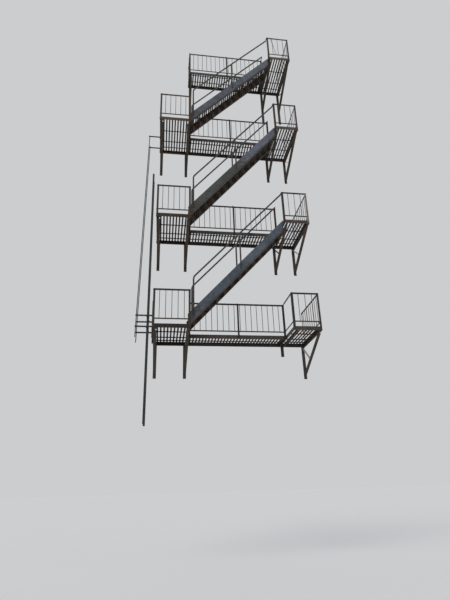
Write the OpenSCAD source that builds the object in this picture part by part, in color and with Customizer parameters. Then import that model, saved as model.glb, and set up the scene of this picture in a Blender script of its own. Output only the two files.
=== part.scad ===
// Fire escape stair: four iron balconies on a wall, three straight flights between them
// and a drop ladder that slides in guides at the left end.
// X runs right along the wall, the wall is the plane y = 0, the stair stands out towards -Y.
// The origin is on the back face of the lowest left bracket leg.

/* [Levels] */
// Walking surface of the first balcony above the origin
first_floor_z = 530; // [400:10:700]
// Height from the first balcony to the second
storey_1 = 3000; // [2600:10:3300]
// Height from the second balcony to the third
storey_2 = 3240; // [2800:10:3500]
// Height from the third balcony to the top one
storey_3 = 2890; // [2600:10:3300]

/* [Plan] */
// Width of the left landings
left_landing_w = 870; // [750:10:1100]
// Width of the narrow walkways between the landings
walkway_w = 2470; // [2200:10:2900]
// Width of the right landings
right_landing_w = 690; // [600:10:1000]
// Depth of the landings from the wall
landing_d = 1400; // [1300:10:1600]
// Depth of the walkways from the wall
walkway_d = 650; // [550:10:720]
// Depth of the top walkway from the wall
top_walkway_d = 560; // [500:10:600]

/* [Floors] */
// Height of the angle iron round a floor
frame_h = 100; // [80:5:130]
// Thickness of the angle iron round a floor
frame_t = 6; // [5:1:10]
// Width of the ledge that the slats lie on
ledge_w = 50; // [40:5:70]
// Width of a floor slat
slat_w = 40; // [25:1:50]
// Thickness of a floor slat
slat_t = 10; // [8:1:12]
// Spacing of the floor slats
slat_pitch = 81; // [65:1:100]
// Height of the cross bars under the slats
cross_bar_h = 25; // [15:1:60]
// Thickness of the cross bars
cross_bar_t = 10; // [8:1:14]
// First cross bar from the wall
cross_bar_1_y = 200; // [100:5:280]
// Second cross bar from the wall
cross_bar_2_y = 450; // [340:5:480]
// Third cross bar from the wall, under the landings only
cross_bar_3_y = 880; // [750:5:1100]

/* [Railings] */
// Height of the landings' top rail above the floor
rail_h = 880; // [850:10:1100]
// Height of the landings' low rail above the floor
low_rail_h = 110; // [60:10:250]
// Height of the walkways' top rail above the floor
walkway_rail_h = 850; // [800:10:1100]
// Height of the walkways' low rail above the floor
walkway_low_rail_h = 85; // [60:5:250]
// Height of the top rail's bar
top_rail_bar_h = 44; // [30:1:50]
// Height of the low rail's bar
low_rail_bar_h = 30; // [20:1:40]
// Thickness of the rail bars
rail_bar_t = 10; // [8:1:12]
// Leg of the angle iron posts
post_leg = 45; // [30:1:50]
// Leg of the two posts beside the ladder
gate_post_leg = 35; // [30:1:40]
// Thickness of the angle iron posts
post_t = 5; // [4:1:8]
// Diameter of the balusters
baluster_d = 14; // [12:1:16]
// Least spacing of the balusters
baluster_pitch = 145; // [110:5:160]
// Bays between the posts of a walkway railing
walkway_bays = 2; // [1:1:4]
// Width of the slanting bar in the top right railing
slant_bar_w = 25; // [20:1:40]
// Thickness of the slanting bar
slant_bar_t = 8; // [6:1:10]
// Head of the slanting bar from the left edge of the landing
slant_bar_head = 135; // [60:5:300]
// Foot of the slanting bar from the left edge of the landing
slant_bar_foot = 275; // [200:5:450]

/* [Flights] */
// Distance from where the line of a flight meets the floor to the right edge of the landing
foot_inset = 290; // [250:10:400]
// Distance from the lower end of the stringers to the right edge of the landing
stringer_inset = 55; // [40:5:80]
// Risers of the first flight
risers_1 = 14; // [12:1:17]
// Risers of the second flight
risers_2 = 15; // [13:1:18]
// Risers of the third flight
risers_3 = 14; // [12:1:17]
// Depth of the stringer channels
stringer_h = 215; // [190:5:280]
// Thickness of the stringer channels
stringer_t = 8; // [6:1:10]
// Width of the stringer flanges
stringer_flange = 55; // [45:1:70]
// Stringer above the line of a flight
stringer_rise = 25; // [5:1:40]
// Treads below the line of a flight
tread_drop = 60; // [40:1:65]
// Gap between the outer stringer and the front of the landings
outer_gap = 110; // [60:5:140]
// Gap between the walkway frame and the inner stringer
inner_gap = 55; // [50:1:80]
// Width of the bars of a tread
tread_bar_w = 38; // [30:1:40]
// Thickness of the bars of a tread
tread_bar_t = 10; // [8:1:14]
// Bars in a tread
tread_bars = 3; // [2:1:3]
// Gap between the bars of a tread
tread_bar_gap = 14; // [8:1:20]
// Height of the cleats that hold a tread
cleat_h = 40; // [30:1:50]
// Thickness of the cleats
cleat_t = 8; // [6:1:10]

/* [Handrails] */
// Height of the handrails above the line of a flight
handrail_h = 860; // [780:10:900]
// Height of the handrails' flat bar
handrail_w = 40; // [30:1:50]
// Thickness of the handrails' flat bar
handrail_t = 12; // [8:1:14]
// Radius of the bend at the foot of a handrail
bend_r = 170; // [100:5:220]
// Distance of the newel past the right edge of the landing
newel_offset = 80; // [40:5:120]
// Lap of the uprights on the outer stringer
lap_l = 150; // [80:5:200]

/* [Brackets] */
// Distance of the brackets from the ends of a landing
bracket_inset = 60; // [40:5:100]
// Width of the leg that lies on the wall
leg_w = 80; // [50:1:90]
// Thickness of the leg
leg_t = 12; // [8:1:16]
// Length of a leg below the floor
leg_drop = 860; // [800:10:1000]
// Length of the legs below the top balcony
top_leg_drop = 1300; // [1000:10:1400]
// Length of the broken leg below the lowest right landing
broken_leg_drop = 270; // [220:10:400]
// Height of the arm under the floor
arm_h = 50; // [40:1:70]
// Thickness of arms and struts
arm_t = 12; // [10:1:16]
// Width of the struts' webs
strut_w = 45; // [35:1:55]
// Width of the struts' flanges
strut_flange_w = 74; // [40:1:80]
// Thickness of the struts' flanges
strut_flange_t = 8; // [6:1:10]
// Height of the strut foot below the floor
strut_drop = 730; // [600:10:760]
// Width of the short braces
brace_w = 50; // [30:1:60]
// Thickness of the short braces
brace_t = 8; // [6:1:12]
// Place of the brace on the strut, from its foot
brace_share = 0.38; // [0.3:0.01:0.5]
// Radius of the bolt holes in the legs
bolt_hole_r = 9; // [7:0.5:11]
// Upper bolt hole below the floor
upper_hole_drop = 160; // [130:5:200]
// Lower bolt hole above the end of the leg
lower_hole_rise = 60; // [40:5:80]

/* [Drop ladder] */
// Centre line of the ladder to the left of the landings
ladder_offset = 140; // [130:5:200]
// Centre line of the ladder from the wall
ladder_y = 400; // [330:10:600]
// Distance between the centres of the ladder rails
ladder_w = 350; // [300:10:450]
// Width of a ladder rail
ladder_rail_w = 50; // [40:1:60]
// Thickness of a ladder rail
ladder_rail_t = 10; // [8:1:14]
// Length of the ladder
ladder_l = 7000; // [6000:50:7500]
// Foot of the ladder below the first balcony
ladder_foot_drop = 2130; // [1900:10:2300]
// Diameter of the rungs
rung_d = 20; // [16:1:24]
// Spacing of the rungs
rung_pitch = 300; // [250:10:350]
// Lowest rung above the foot of the rails
first_rung = 200; // [100:10:280]

/* [Ladder guides] */
// Diameter of the guide rods
rod_d = 22; // [16:1:28]
// Gap between a ladder rail and the guide rod beside it
rod_gap = 29; // [20:1:50]
// Clearance between a guide rod and the arms that hold it
rod_clearance = 0.3; // [0.2:0.1:0.6]
// Top of the guide rods to the left of the landings
rod_top_offset = 300; // [250:10:350]
// Sideways lean of the guide rods over their height
rod_lean = 130; // [0:5:160]
// Foot of the guide rods below the first balcony
rod_foot_drop = 80; // [0:10:150]
// Width of the guide arms
guide_arm_w = 40; // [30:1:50]
// Thickness of the guide arms
guide_arm_t = 8; // [6:1:12]
// Lower guide arms above the first balcony
lower_arm_h = 190; // [180:10:250]
// Upper guide arms above the first balcony
upper_arm_h = 480; // [400:10:600]
// Running clearance of the ladder rails in their guide shoes
shoe_clearance = 0.5; // [0.3:0.1:0.9]
// Wall of a guide shoe
shoe_wall = 10; // [6:1:14]
// Depth of a guide shoe's lips round the rail
shoe_lip = 8; // [5:1:10]

/* [Hidden] */
$fn = 32;
bend_steps = 8;
cut_margin = 1;
LEVELS = 4;
level_z = [
    first_floor_z,
    first_floor_z + storey_1,
    first_floor_z + storey_1 + storey_2,
    first_floor_z + storey_1 + storey_2 + storey_3
];
risers = [risers_1, risers_2, risers_3];
left_x = -bracket_inset;
walkway_x = left_x + left_landing_w;
right_x = walkway_x + walkway_w;
end_x = right_x + right_landing_w;
foot_x = walkway_x - foot_inset;
stringer_x = walkway_x - stringer_inset;
tread_depth = tread_bars * tread_bar_w + (tread_bars - 1) * tread_bar_gap;
flight_run = right_x - foot_x;
outer_face_y = -(landing_d - outer_gap);
inner_face_y = -(walkway_d + inner_gap);
tread_l = inner_face_y - outer_face_y - 2 * stringer_t;
ladder_x = left_x - ladder_offset;
ladder_foot_z = first_floor_z - ladder_foot_drop;
guide_half = ladder_w / 2 + ladder_rail_t / 2 + rod_gap + rod_d + rod_clearance;
rod_half = guide_half - rod_clearance - rod_d / 2;
rod_top_x = left_x - rod_top_offset;
rod_top_z = level_z[2] - (frame_h - guide_arm_w) / 2 + guide_arm_w / 2;
rod_foot_z = first_floor_z - rod_foot_drop;

iron = [0.17, 0.14, 0.12];
rust = [0.30, 0.20, 0.15];
faded = [0.38, 0.42, 0.47];
dark = [0.12, 0.12, 0.13];

// Depth of a walkway from the wall
function walkway_depth(i) = i < LEVELS - 1 ? walkway_d : top_walkway_d;

// Extrudes a drawing of (x, z) points from y towards the front
module front_plane(y, t) {
    translate([0, y, 0])
        rotate([90, 0, 0])
            linear_extrude(t)
                children();
}

// Extrudes a drawing of (y, z) points to both sides of x
module side_plane(x, t) {
    translate([x - t / 2, 0, 0])
        rotate([90, 0, 90])
            linear_extrude(t)
                children();
}

// A straight bar between two points of a drawing, moved sideways by offset
module bar_2d(a, b, w, offset = 0) {
    translate(a)
        rotate(atan2(b[1] - a[1], b[0] - a[0]))
            translate([0, offset - w / 2])
                square([norm(b - a), w]);
}

// A flat ring of a given width inside a rectangle that reaches from the wall to depth d
module rect_ring(x, w, d, ring) {
    difference() {
        translate([x, -d])
            square([w, d]);
        translate([x + ring, -d + ring])
            square([w - 2 * ring, d - 2 * ring]);
    }
}

// A floor: an angle iron frame with cross bars and slats laid flat on them
module floor_panel(x, w, d, z) {
    slat_z = z - slat_t;
    inner_w = w - 2 * frame_t;
    slats = floor((inner_w - slat_w) / slat_pitch) + 1;
    first_slat = x + w / 2 - (slats - 1) * slat_pitch / 2 - slat_w / 2;
    translate([0, 0, z - frame_h])
        linear_extrude(frame_h)
            rect_ring(x, w, d, frame_t);
    translate([0, 0, slat_z - frame_t])
        linear_extrude(frame_t)
            rect_ring(x, w, d, ledge_w);
    for (y = [cross_bar_1_y, cross_bar_2_y, cross_bar_3_y])
        if (y < d - ledge_w)
            translate([x + frame_t, -y - cross_bar_t / 2, slat_z - cross_bar_h])
                cube([inner_w, cross_bar_t, cross_bar_h]);
    for (i = [0 : slats - 1])
        translate([first_slat + i * slat_pitch, -d + frame_t, slat_z])
            cube([slat_w, d - 2 * frame_t, slat_t]);
}

module floor_left(i) {
    color(rust)
        floor_panel(left_x, left_landing_w, landing_d, level_z[i]);
}

module floor_walkway(i) {
    color(rust)
        floor_panel(walkway_x, walkway_w, walkway_depth(i), level_z[i]);
}

module floor_right(i) {
    color(rust)
        floor_panel(right_x, right_landing_w, landing_d, level_z[i]);
}

// An angle iron post up to the rail height top: corner point of the frame, and the way
// its two legs run
module post(x, y, z, x_way, y_way, top, leg) {
    bottom = z - frame_h;
    h = frame_h + top;
    back = min(0, x_way);
    front = min(0, y_way);
    translate([x + back * leg, y + front * post_t, bottom])
        cube([leg, post_t, h]);
    translate([x + back * post_t, y + front * leg, bottom])
        cube([post_t, leg, h]);
}

// An angle iron post that wraps round the outer front corner of a landing
module corner_post(x, z, x_way) {
    h = frame_h + rail_h;
    y = -landing_d - post_t;
    translate([x_way > 0 ? x - post_t : x - post_leg, y, z - frame_h])
        cube([post_leg + post_t, post_t, h]);
    translate([x_way > 0 ? x - post_t : x, y, z - frame_h])
        cube([post_t, post_leg + post_t, h]);
}

// Top and low rail along X, just behind the line y
module rails_x(x_a, x_b, y, z, top, low) {
    translate([x_a, y, z + top - top_rail_bar_h])
        cube([x_b - x_a, rail_bar_t, top_rail_bar_h]);
    translate([x_a, y, z + low])
        cube([x_b - x_a, rail_bar_t, low_rail_bar_h]);
}

// Top and low rail along Y from the line y_a to y_b, on one side of the line x
module rails_y(x, y_a, y_b, z, way, top, low) {
    side_x = way > 0 ? x : x - rail_bar_t;
    translate([side_x, y_a, z + top - top_rail_bar_h])
        cube([rail_bar_t, y_b - y_a, top_rail_bar_h]);
    translate([side_x, y_a, z + low])
        cube([rail_bar_t, y_b - y_a, low_rail_bar_h]);
}

// Evenly spaced balusters between two points of the plan
module balusters(a, b, z, top, low) {
    gaps = floor(norm(b - a) / baluster_pitch);
    foot = z + low + low_rail_bar_h / 2;
    head = z + top - top_rail_bar_h / 2;
    for (i = [1 : gaps - 1]) {
        p = a + (b - a) * i / gaps;
        translate([p[0], p[1], foot])
            cylinder(d = baluster_d, h = head - foot);
    }
}

// The closed end of a balcony of depth d: rails, balusters and a post at the wall.
// The end frame is the line x, and the rails lie on the side that way points to.
module end_railing(x, d, z, way, top, low) {
    rail_x = x + way * rail_bar_t / 2;
    front_y = -d + rail_bar_t;
    rails_y(x, front_y, 0, z, way, top, low);
    balusters([rail_x, front_y], [rail_x, 0], z, top, low);
    translate([way > 0 ? x - post_t : x, -post_leg, z - frame_h])
        cube([post_t, post_leg, frame_h + top]);
}

// The open left end of the first balcony, with two posts beside the ladder
module gate_railing(z) {
    x = left_x;
    rail_x = x + rail_bar_t / 2;
    front_y = -landing_d + rail_bar_t;
    front_post_y = -ladder_y - guide_half;
    rear_post_y = -ladder_y + guide_half;
    rails_y(x, front_y, front_post_y + gate_post_leg, z, 1, rail_h, low_rail_h);
    balusters([rail_x, front_y], [rail_x, front_post_y], z, rail_h, low_rail_h);
    rails_y(x, rear_post_y - gate_post_leg, 0, z, 1, rail_h, low_rail_h);
    post(x, front_post_y, z, -1, 1, rail_h, gate_post_leg);
    post(x, rear_post_y, z, -1, -1, rail_h, gate_post_leg);
}

// The bar that slants between the rails of the top right landing
module slant_bar(z) {
    head = [right_x + slant_bar_head, z + rail_h - top_rail_bar_h / 2];
    foot = [right_x + slant_bar_foot, z + low_rail_h + low_rail_bar_h / 2];
    front_plane(-landing_d + rail_bar_t + slant_bar_t, slant_bar_t)
        bar_2d(foot, head, slant_bar_w);
}

// The front railing of a landing between x_a and x_b, with a post round each corner
module front_railing(x_a, x_b, z) {
    rail_y = -landing_d + rail_bar_t / 2;
    corner_post(x_a, z, 1);
    corner_post(x_b, z, -1);
    rails_x(x_a, x_b, -landing_d, z, rail_h, low_rail_h);
    balusters([x_a, rail_y], [x_b, rail_y], z, rail_h, low_rail_h);
}

module railing_left(i) {
    color(iron)
        front_railing(left_x, walkway_x, level_z[i]);
}

module railing_walkway(i) {
    z = level_z[i];
    y = -walkway_depth(i);
    rail_y = y + rail_bar_t / 2;
    color(iron) {
        rails_x(walkway_x, right_x, y, z, walkway_rail_h, walkway_low_rail_h);
        balusters(
            [walkway_x, rail_y], [right_x, rail_y],
            z, walkway_rail_h, walkway_low_rail_h
        );
        for (n = [0 : walkway_bays - 1])
            post(walkway_x + walkway_w * n / walkway_bays, y, z, 1, -1, walkway_rail_h, post_leg);
        post(right_x, y, z, -1, -1, walkway_rail_h, post_leg);
    }
}

module railing_right(i) {
    color(iron) {
        front_railing(right_x, end_x, level_z[i]);
        if (i == LEVELS - 1)
            slant_bar(level_z[i]);
    }
}

module end_railings_left() {
    top = LEVELS - 1;
    color(iron) {
        gate_railing(level_z[0]);
        for (i = [1 : top - 1])
            end_railing(left_x, landing_d, level_z[i], 1, rail_h, low_rail_h);
        end_railing(walkway_x, top_walkway_d, level_z[top], 1, walkway_rail_h, walkway_low_rail_h);
    }
}

// The right ends, and the two short rails beside the lowest right landing
module end_railings_right() {
    color(iron) {
        for (i = [0 : LEVELS - 1])
            end_railing(end_x, landing_d, level_z[i], -1, rail_h, low_rail_h);
        rails_y(
            right_x, -landing_d + rail_bar_t, -walkway_d,
            level_z[0], 1, rail_h, low_rail_h
        );
    }
}

// A wall bracket: leg, arm, T-shaped strut and brace, with bolt holes in the leg.
// A broken one has lost its strut and brace and the lower end of its leg.
module bracket(x, d, z, drop, broken = false) {
    top = z - frame_h;
    strut_end = [-d + arm_h / 2 + strut_w / 2, top - arm_h / 2];
    strut_foot = [-leg_t, top - strut_drop];
    brace_foot = strut_foot + (strut_end - strut_foot) * brace_share;
    upper_hole_z = top - upper_hole_drop;
    difference() {
        union() {
            translate([x - leg_w / 2, -leg_t, top - drop])
                cube([leg_w, leg_t, drop]);
            side_plane(x, arm_t)
                before_leg(d, top, drop) {
                    translate([-d, top - arm_h])
                        square([d, arm_h]);
                    if (!broken)
                        bar_2d(strut_end, strut_foot, strut_w);
                }
            if (!broken) {
                side_plane(x, brace_w)
                    before_leg(d, top, drop)
                        bar_2d([-leg_t, top - arm_h / 2], brace_foot, brace_t);
                side_plane(x, strut_flange_w)
                    before_leg(d, top - arm_h, drop)
                        bar_2d(
                            strut_end, strut_foot, strut_flange_t,
                            (strut_flange_t - strut_w) / 2
                        );
            }
        }
        for (hole_z = broken ? [upper_hole_z] : [upper_hole_z, top - drop + lower_hole_rise])
            translate([x, cut_margin, hole_z])
                rotate([90, 0, 0])
                    cylinder(r = bolt_hole_r, h = leg_t + 2 * cut_margin);
    }
}

// Keeps what lies below top and in front of the middle of a bracket leg
module before_leg(d, top, drop) {
    intersection() {
        union()
            children();
        translate([-d, top - drop])
            square([d - leg_t / 2, drop]);
    }
}

module brackets_left(i) {
    color(iron) {
        if (i < LEVELS - 1) {
            bracket(left_x + bracket_inset, landing_d, level_z[i], leg_drop);
            bracket(walkway_x - bracket_inset, landing_d, level_z[i], leg_drop);
        } else {
            bracket(walkway_x + bracket_inset, top_walkway_d, level_z[i], top_leg_drop);
        }
    }
}

module brackets_right(i) {
    drop = i < LEVELS - 1 ? leg_drop : top_leg_drop;
    inner_drop = i == 0 ? broken_leg_drop : drop;
    color(iron) {
        bracket(right_x + bracket_inset, landing_d, level_z[i], inner_drop, broken = i == 0);
        bracket(end_x - bracket_inset, landing_d, level_z[i], drop);
    }
}

// Rise of a flight over its run
function flight_slope(i) = (level_z[i + 1] - level_z[i]) / flight_run;

// Height of the line of a flight at x
function line_z(i, x) = level_z[i] + (x - foot_x) * flight_slope(i);

// A strip along a flight, between two distances square to its line.
// It is cut upright at both ends and stands level on the lower floor.
module flight_strip(i, low, high) {
    across = sqrt(1 + flight_slope(i) ^ 2);
    start_z = line_z(i, stringer_x);
    end_z = line_z(i, right_x);
    intersection() {
        polygon([
            [stringer_x, start_z + low * across],
            [right_x, end_z + low * across],
            [right_x, end_z + high * across],
            [stringer_x, start_z + high * across]
        ]);
        translate([stringer_x, level_z[i]])
            square([right_x - stringer_x, 2 * (end_z - level_z[i])]);
    }
}

// A channel along a flight, with its web's outer face at y and its flanges towards way
module stringer(i, y, way) {
    low = stringer_rise - stringer_h;
    web_y = way > 0 ? y + stringer_t : y;
    flange_y = way > 0 ? y + stringer_flange : y;
    front_plane(web_y, stringer_t)
        flight_strip(i, low, stringer_rise);
    front_plane(flange_y, stringer_flange)
        flight_strip(i, low, low + stringer_t);
    front_plane(flange_y, stringer_flange)
        flight_strip(i, stringer_rise - stringer_t, stringer_rise);
}

module stringers(i) {
    color(faded) {
        stringer(i, outer_face_y, 1);
        stringer(i, inner_face_y, -1);
    }
}

// A tread: flat bars riveted on a cleat at each end
module tread(x, z) {
    front_y = outer_face_y + stringer_t;
    for (n = [0 : tread_bars - 1])
        translate([x + n * (tread_bar_w + tread_bar_gap), front_y, z - tread_bar_t])
            cube([tread_bar_w, tread_l, tread_bar_t]);
    for (y = [front_y, front_y + tread_l - cleat_t])
        translate([x, y, z - tread_bar_t - cleat_h])
            cube([tread_depth, cleat_t, cleat_h]);
}

module treads(i) {
    going = flight_run / risers[i];
    riser = (level_z[i + 1] - level_z[i]) / risers[i];
    start_x = foot_x + tread_drop / flight_slope(i);
    color(rust)
        for (n = [1 : risers[i] - 1])
            tread(min(start_x + n * going, right_x - tread_depth), level_z[i] + n * riser);
}

// Outline of a handrail's bent flat bar: newel, bend and straight run.
// side is the distance from the middle of the bar, and the newel's foot is at foot_z.
function handrail_edge(i, newel_x, side, foot_z, end_x) =
    let (
        slope_angle = atan(flight_slope(i)),
        turn = 90 - slope_angle,
        corner_z = line_z(i, newel_x) + handrail_h,
        bend_z = corner_z - bend_r * tan(turn / 2),
        radius = bend_r + side
    )
    [
        [newel_x - side, foot_z],
        for (n = [0 : bend_steps])
            [
                newel_x + bend_r - radius * cos(turn * n / bend_steps),
                bend_z + radius * sin(turn * n / bend_steps)
            ],
        [end_x, line_z(i, end_x) + handrail_h + side / cos(slope_angle)]
    ];

function reversed(list) = [for (n = [len(list) - 1 : -1 : 0]) list[n]];

module handrail_bar(i, newel_x, left_foot_z, right_foot_z, end_x) {
    polygon(concat(
        handrail_edge(i, newel_x, handrail_w / 2, left_foot_z, end_x),
        reversed(handrail_edge(i, newel_x, -handrail_w / 2, right_foot_z, end_x))
    ));
}

// An upright between the stringer and the middle of the handrail
module upright(i, x, left_foot_z, right_foot_z) {
    polygon([
        [x - handrail_w / 2, left_foot_z],
        [x + handrail_w / 2, right_foot_z],
        [x + handrail_w / 2, line_z(i, x) + handrail_h],
        [x - handrail_w / 2, line_z(i, x) + handrail_h]
    ]);
}

// Top of a stringer at x
function stringer_top(i, x) = line_z(i, x) + stringer_rise * sqrt(1 + flight_slope(i) ^ 2);

module handrails(i) {
    newel_x = walkway_x + newel_offset;
    mid_x = (newel_x + right_x) / 2;
    end_face_x = right_x - post_t;
    end_z = line_z(i, end_face_x) + handrail_h;
    half_w = handrail_w / 2;
    return_l = -walkway_depth(i + 1) - post_t - inner_face_y + handrail_t;
    color(iron) {
        front_plane(outer_face_y, handrail_t) {
            handrail_bar(
                i, newel_x,
                line_z(i, newel_x) - lap_l, line_z(i, newel_x) - lap_l,
                end_face_x
            );
            upright(i, mid_x, line_z(i, mid_x) - lap_l, line_z(i, mid_x) - lap_l);
        }
        front_plane(inner_face_y, handrail_t) {
            handrail_bar(
                i, newel_x,
                stringer_top(i, newel_x - half_w), stringer_top(i, newel_x + half_w),
                end_face_x
            );
            upright(i, mid_x, stringer_top(i, mid_x - half_w), stringer_top(i, mid_x + half_w));
        }
        translate([end_face_x - handrail_t, inner_face_y - handrail_t, end_z - handrail_w])
            cube([handrail_t, return_l, handrail_w]);
        translate([end_face_x - handrail_t, -landing_d, end_z - handrail_w])
            cube([handrail_t, outer_gap, handrail_w]);
    }
}

module ladder_rails() {
    color(dark)
        for (side = [-1, 1])
            translate([
                ladder_x - ladder_rail_w / 2,
                -ladder_y + side * ladder_w / 2 - ladder_rail_t / 2,
                ladder_foot_z
            ])
                cube([ladder_rail_w, ladder_rail_t, ladder_l]);
}

module ladder_rungs() {
    rung_l = ladder_w - ladder_rail_t;
    rungs = floor((ladder_l - first_rung) / rung_pitch) + 1;
    color(dark)
        for (n = [0 : rungs - 1])
            translate([ladder_x, -ladder_y + rung_l / 2, ladder_foot_z + first_rung + n * rung_pitch])
                rotate([90, 0, 0])
                    cylinder(d = rung_d, h = rung_l);
}

// X of a guide rod at height z
function rod_x(z) = rod_top_x - rod_lean * (rod_top_z - z) / (rod_top_z - rod_foot_z);

// The two leaning guide rods
module guide_rods() {
    lean_angle = atan(rod_lean / (rod_top_z - rod_foot_z));
    color(dark)
        for (side = [-1, 1])
            translate([rod_x(rod_foot_z), -ladder_y + side * rod_half, rod_foot_z])
                rotate([0, lean_angle, 0])
                    cylinder(d = rod_d, h = (rod_top_z - rod_foot_z) / cos(lean_angle));
}

// A shoe that wraps the edges of a ladder rail, on the inner face of a guide arm
module guide_shoe(side, z) {
    rail_face = ladder_w / 2 + ladder_rail_t / 2 + shoe_clearance;
    half_w = ladder_rail_w / 2 + shoe_clearance;
    reach = guide_half - rail_face;
    lip_l = reach + shoe_clearance + shoe_lip;
    translate([ladder_x, -ladder_y, z - guide_arm_w / 2])
        mirror([0, side < 0 ? 1 : 0, 0]) {
            translate([-half_w - shoe_wall, rail_face, 0])
                cube([2 * (half_w + shoe_wall), reach, guide_arm_w]);
            for (x = [-half_w - shoe_wall, half_w])
                translate([x, guide_half - lip_l, 0])
                    cube([shoe_wall, lip_l, guide_arm_w]);
        }
}

// A flat arm from the end of a balcony to a guide rod
module guide_arm(side, z) {
    arm_end = rod_x(z) - rod_d;
    arm_y = -ladder_y + side * guide_half + (side < 0 ? -guide_arm_t : 0);
    translate([arm_end, arm_y, z - guide_arm_w / 2])
        cube([left_x - arm_end, guide_arm_t, guide_arm_w]);
}

module guide_arms() {
    color(dark)
        for (side = [-1, 1]) {
            guide_arm(side, rod_top_z - guide_arm_w);
            for (h = [lower_arm_h, upper_arm_h]) {
                guide_arm(side, first_floor_z + h);
                guide_shoe(side, first_floor_z + h);
            }
        }
}

floor_left(0);  // floor_left_1
floor_left(1);  // floor_left_2
floor_left(2);  // floor_left_3
floor_walkway(0);  // floor_walkway_1
floor_walkway(1);  // floor_walkway_2
floor_walkway(2);  // floor_walkway_3
floor_walkway(3);  // floor_walkway_4
floor_right(0);  // floor_right_1
floor_right(1);  // floor_right_2
floor_right(2);  // floor_right_3
floor_right(3);  // floor_right_4
railing_left(0);  // railing_left_1
railing_left(1);  // railing_left_2
railing_left(2);  // railing_left_3
railing_walkway(0);  // railing_walkway_1
railing_walkway(1);  // railing_walkway_2
railing_walkway(2);  // railing_walkway_3
railing_walkway(3);  // railing_walkway_4
railing_right(0);  // railing_right_1
railing_right(1);  // railing_right_2
railing_right(2);  // railing_right_3
railing_right(3);  // railing_right_4
end_railings_left();
end_railings_right();
brackets_left(0);  // brackets_left_1
brackets_left(1);  // brackets_left_2
brackets_left(2);  // brackets_left_3
brackets_left(3);  // bracket_left_4
brackets_right(0);  // brackets_right_1
brackets_right(1);  // brackets_right_2
brackets_right(2);  // brackets_right_3
brackets_right(3);  // brackets_right_4
stringers(0);  // stringers_1
stringers(1);  // stringers_2
stringers(2);  // stringers_3
treads(0);  // treads_1
treads(1);  // treads_2
treads(2);  // treads_3
handrails(0);  // handrails_1
handrails(1);  // handrails_2
handrails(2);  // handrails_3
ladder_rails();
ladder_rungs();
guide_rods();
guide_arms();
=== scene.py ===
# %% [markdown]
# # A fire escape stair, dressed for its photograph
#
# The real thing is riveted from iron bars: slatted balconies hang on wall brackets, straight
# flights lean between them, and a drop ladder slides in guides at the left end.
# The solids come ready made from the construction model, so this lesson does what is left:
# it sets up the camera and the light, it paints the iron, and it adds the small parts that
# hold an ironwork together: rivets, bolts, washers, cleats, clips and collars.

# %% Load the construction model
import math

import bmesh
import bpy
from mathutils import Matrix, Vector


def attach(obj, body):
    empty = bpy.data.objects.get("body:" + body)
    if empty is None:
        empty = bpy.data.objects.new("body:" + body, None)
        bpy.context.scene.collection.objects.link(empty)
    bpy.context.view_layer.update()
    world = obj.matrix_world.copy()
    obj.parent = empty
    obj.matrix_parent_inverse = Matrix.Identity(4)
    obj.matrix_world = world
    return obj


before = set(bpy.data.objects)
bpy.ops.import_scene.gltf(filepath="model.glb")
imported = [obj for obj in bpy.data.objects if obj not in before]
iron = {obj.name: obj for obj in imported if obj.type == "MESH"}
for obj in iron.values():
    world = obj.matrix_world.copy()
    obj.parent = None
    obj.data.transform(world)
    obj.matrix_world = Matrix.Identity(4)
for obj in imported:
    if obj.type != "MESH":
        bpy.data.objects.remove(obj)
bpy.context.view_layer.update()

# %% [markdown]
# ## The measures
#
# Rivets and bolts sit on bars whose places are known from the construction model.
# They could be measured off the meshes, but a number with a name is easier to read, as on a
# maker's drawing. The ones that several cells share are written down once here, in metres,
# and the others where they are first needed.

# %% Measures of the ironwork
LEVELS = [0.530, 3.530, 6.770, 9.660]
LEFT_X = -0.060
WALKWAY_X = 0.810
RIGHT_X = 3.280
END_X = 3.970
LANDING_D = 1.400
WALKWAY_D = [0.650, 0.650, 0.650, 0.560]
FRAME_H = 0.100
FRAME_T = 0.006
POST_T = 0.005
BRACKET_X = [0.0, 0.750, 3.340, 3.910]
FOOT_X = 0.520
RISERS = [14, 15, 14]
OUTER_Y = -1.290
INNER_Y = -0.705
STRINGER_H = 0.215
STRINGER_RISE = 0.025
going = [(RIGHT_X - FOOT_X) / n for n in RISERS]
riser = [(LEVELS[i + 1] - LEVELS[i]) / RISERS[i] for i in range(3)]
slope = [riser[i] / going[i] for i in range(3)]
pitches = [round(math.degrees(math.atan(s)), 1) for s in slope]
print("balconies at", LEVELS, "and flights at", pitches, "degrees")

# %% [markdown]
# ## The camera
#
# The photograph was taken from the pavement, a little left of the stair, looking up.
# The place and the three angles below were found from the vanishing points of the wall, so
# the render lies over the photograph. A camera can also be aimed at a target, but then the
# small tilt of the picture is lost, so the turn is built from three simple ones: round the
# upright axis, up from the level, and that tilt.

# %% Place the camera
YAW, PITCH, ROLL = math.radians(8.553), math.radians(23.016), math.radians(1.802)
lens_data = bpy.data.cameras.new("street_view")
camera = bpy.data.objects.new("street_view", lens_data)
bpy.context.scene.collection.objects.link(camera)
camera.location = (0.19, -11.0, -2.97)
turn = (
    Matrix.Rotation(-YAW, 3, "Z")
    @ Matrix.Rotation(math.pi / 2 + PITCH, 3, "X")
    @ Matrix.Rotation(-ROLL, 3, "Z")
)
camera.rotation_euler = turn.to_euler()
lens_data.sensor_fit = "AUTO"
lens_data.sensor_width = 36
lens_data.lens = 26.47
lens_data.clip_end = 200
bpy.context.scene.camera = camera
print("camera turned by", [round(math.degrees(a), 2) for a in camera.rotation_euler])

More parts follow.
